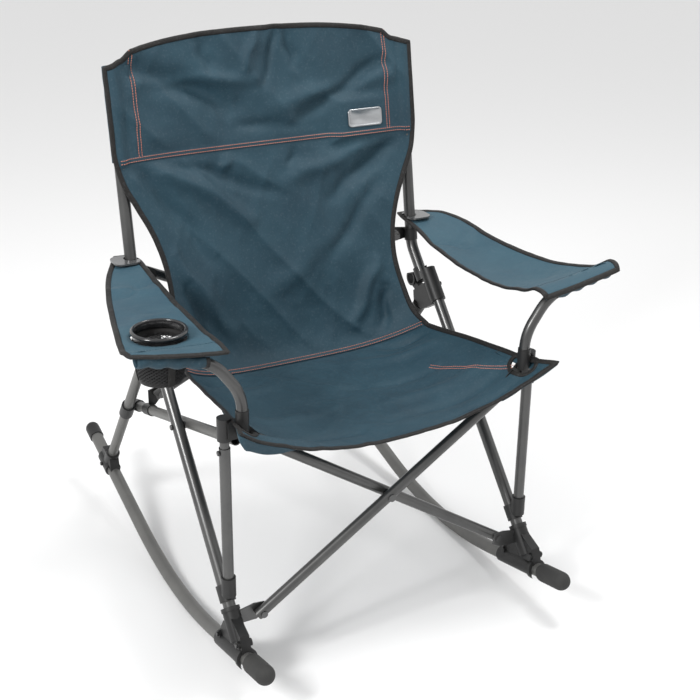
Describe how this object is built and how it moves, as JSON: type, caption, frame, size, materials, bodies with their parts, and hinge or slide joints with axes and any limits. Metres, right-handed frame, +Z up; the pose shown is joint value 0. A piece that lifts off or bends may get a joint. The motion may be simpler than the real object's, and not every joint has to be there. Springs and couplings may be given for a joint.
{
  "type": "folding camp rocking chair",
  "caption": "Folding rocking camp chair: tubular steel side frames on curved rockers, scissor cross tubes, fabric sling, padded arms and a mesh cup holder.",
  "frame": {"origin": "middle of the chair's footprint box, on the floor plane that the rockers rest on", "axes": "+X towards the sitter's left, -Y the way the chair faces, +Z up"},
  "size_m": [0.912, 0.9296, 1.0072],
  "materials": {
    "rocker_steel": "satin grey powder coat",
    "frame_steel": "satin gunmetal powder coat",
    "rivet_steel": "black coated steel",
    "black_plastic": "moulded nylon",
    "gloss_plastic": "polished moulding",
    "rubber": "matt rubber",
    "sling_cloth": "woven polyester",
    "arm_cloth": "woven polyester",
    "binding_tape": "black binding tape",
    "stitch_thread": "contrast thread",
    "mesh_cloth": "open black mesh",
    "badge_metal": "brushed blank badge"
  },
  "bodies": {
    "left_frame": {"left_rocker": "rocker_steel", "left_foot_cap": "rubber", "left_rear_cap": "black_plastic", "left_front_hub": "black_plastic", "left_hub_tab": "rivet_steel", "left_leg_tube": "frame_steel", "left_rear_leg": "rocker_steel", "left_rear_bracket": "black_plastic", "left_tee_bracket": "black_plastic", "left_rail_clamp": "black_plastic", "left_seat_rail": "rocker_steel", "left_post_sleeve": "frame_steel", "left_post_clamp": "black_plastic", "left_rear_x_saddle": "black_plastic", "left_frame_fasteners": "rivet_steel"},
    "right_frame": {"right_rocker": "rocker_steel", "right_foot_cap": "rubber", "right_rear_cap": "black_plastic", "right_front_hub": "black_plastic", "right_hub_tab": "rivet_steel", "right_leg_tube": "frame_steel", "right_rear_leg": "rocker_steel", "right_rear_bracket": "black_plastic", "right_tee_bracket": "black_plastic", "right_rail_clamp": "black_plastic", "right_seat_rail": "rocker_steel", "right_post_sleeve": "frame_steel", "right_post_clamp": "black_plastic", "right_rear_x_saddle": "black_plastic", "right_frame_fasteners": "rivet_steel"},
    "left_corner": {"left_corner_bracket": "black_plastic", "left_post_rod": "frame_steel", "left_arm_tube": "frame_steel"},
    "left_pole": {"left_back_pole": "frame_steel", "left_pole_tab": "black_plastic", "back_panel": "sling_cloth", "headrest_panel": "sling_cloth"},
    "left_arm": {"left_arm_pad": "arm_cloth", "left_pole_grommet": "gloss_plastic", "cup_ring": "gloss_plastic", "cup_pocket": "mesh_cloth"},
    "right_corner": {"right_corner_bracket": "black_plastic", "right_post_rod": "frame_steel", "right_arm_tube": "frame_steel"},
    "right_pole": {"right_back_pole": "frame_steel", "right_pole_tab": "black_plastic", "label_plate": "badge_metal"},
    "right_arm": {"right_arm_pad": "arm_cloth", "right_pole_grommet": "gloss_plastic"},
    "front_cross_1": {"front_cross_tube_1": "frame_steel", "front_cross_rivets_1": "rivet_steel"},
    "front_cross_2": {"front_cross_tube_2": "frame_steel", "front_cross_rivets_2": "rivet_steel"},
    "rear_cross_1": {"rear_cross_tube_1": "frame_steel", "rear_cross_rivets_1": "rivet_steel"},
    "rear_cross_2": {"rear_cross_tube_2": "frame_steel", "rear_cross_rivets_2": "rivet_steel"},
    "seat_sling": {"seat_panel": "sling_cloth"}
  },
  "joints": [
    {"name": "fold", "type": "hinge", "parent": "left_frame", "child": "front_cross_1", "pos_m": [-0.246, -0.318, 0.117], "axis": [0, -1, 0], "range_deg": [0, 50], "deforming": ["back_panel", "headrest_panel", "seat_panel"]},
    {"name": "front_cross_pivot", "type": "hinge", "parent": "front_cross_1", "child": "front_cross_2", "pos_m": [0, -0.318, 0.279], "axis": [0, -1, 0], "range_deg": [-101, 0]},
    {"name": "right_hub_pivot", "type": "hinge", "parent": "front_cross_2", "child": "right_frame", "pos_m": [0.246, -0.318, 0.117], "axis": [0, -1, 0], "range_deg": [0, 51]},
    {"name": "left_post_slide", "type": "slide", "parent": "left_frame", "child": "left_corner", "axis": [0, 0, 1], "range_m": [0, 0.2622]},
    {"name": "right_post_slide", "type": "slide", "parent": "right_frame", "child": "right_corner", "axis": [0, 0, 1], "range_m": [0, 0.2622]},
    {"name": "left_pole_slide", "type": "slide", "parent": "left_frame", "child": "left_pole", "axis": [0, 0, 1], "range_m": [0, 0.3196]},
    {"name": "right_pole_slide", "type": "slide", "parent": "right_frame", "child": "right_pole", "axis": [0, 0, 1], "range_m": [0, 0.3196]},
    {"name": "left_arm_hinge", "type": "hinge", "parent": "left_pole", "child": "left_arm", "pos_m": [-0.296, 0.1157, 0.616], "axis": [1, 0, 0], "range_deg": [0, 7.43]},
    {"name": "right_arm_hinge", "type": "hinge", "parent": "right_pole", "child": "right_arm", "pos_m": [0.296, 0.1157, 0.616], "axis": [1, 0, 0], "range_deg": [0, 7.43]},
    {"name": "seat_hinge", "type": "hinge", "parent": "left_pole", "child": "seat_sling", "pos_m": [0, 0.036, 0.4], "axis": [1, 0, 0], "range_deg": [0, 9.53]},
    {"name": "rear_fold", "type": "hinge", "parent": "left_frame", "child": "rear_cross_1", "pos_m": [-0.256, 0.12, 0.345], "axis": [0, -1, 0], "range_deg": [0, 56.93]},
    {"name": "rear_cross_pivot", "type": "hinge", "parent": "rear_cross_1", "child": "rear_cross_2", "pos_m": [0, 0.12, 0.465], "axis": [0, -1, 0], "range_deg": [-112.85, 0]}
  ],
  "couplings": [
    {"joint": "front_cross_pivot", "follows": "fold", "ratio": -2},
    {"joint": "right_hub_pivot", "follows": "fold", "ratio": 1},
    {"joint": "left_post_slide", "follows": "fold", "m_per_rad": 0.29926},
    {"joint": "right_post_slide", "follows": "fold", "m_per_rad": 0.29926},
    {"joint": "left_pole_slide", "follows": "fold", "m_per_rad": 0.36504},
    {"joint": "right_pole_slide", "follows": "fold", "m_per_rad": 0.36504},
    {"joint": "left_arm_hinge", "follows": "fold", "ratio": 0.14464},
    {"joint": "right_arm_hinge", "follows": "fold", "ratio": 0.14464},
    {"joint": "seat_hinge", "follows": "fold", "ratio": 0.18664},
    {"joint": "rear_fold", "follows": "fold", "ratio": 1.1185},
    {"joint": "rear_cross_pivot", "follows": "fold", "ratio": -2.2371}
  ]
}
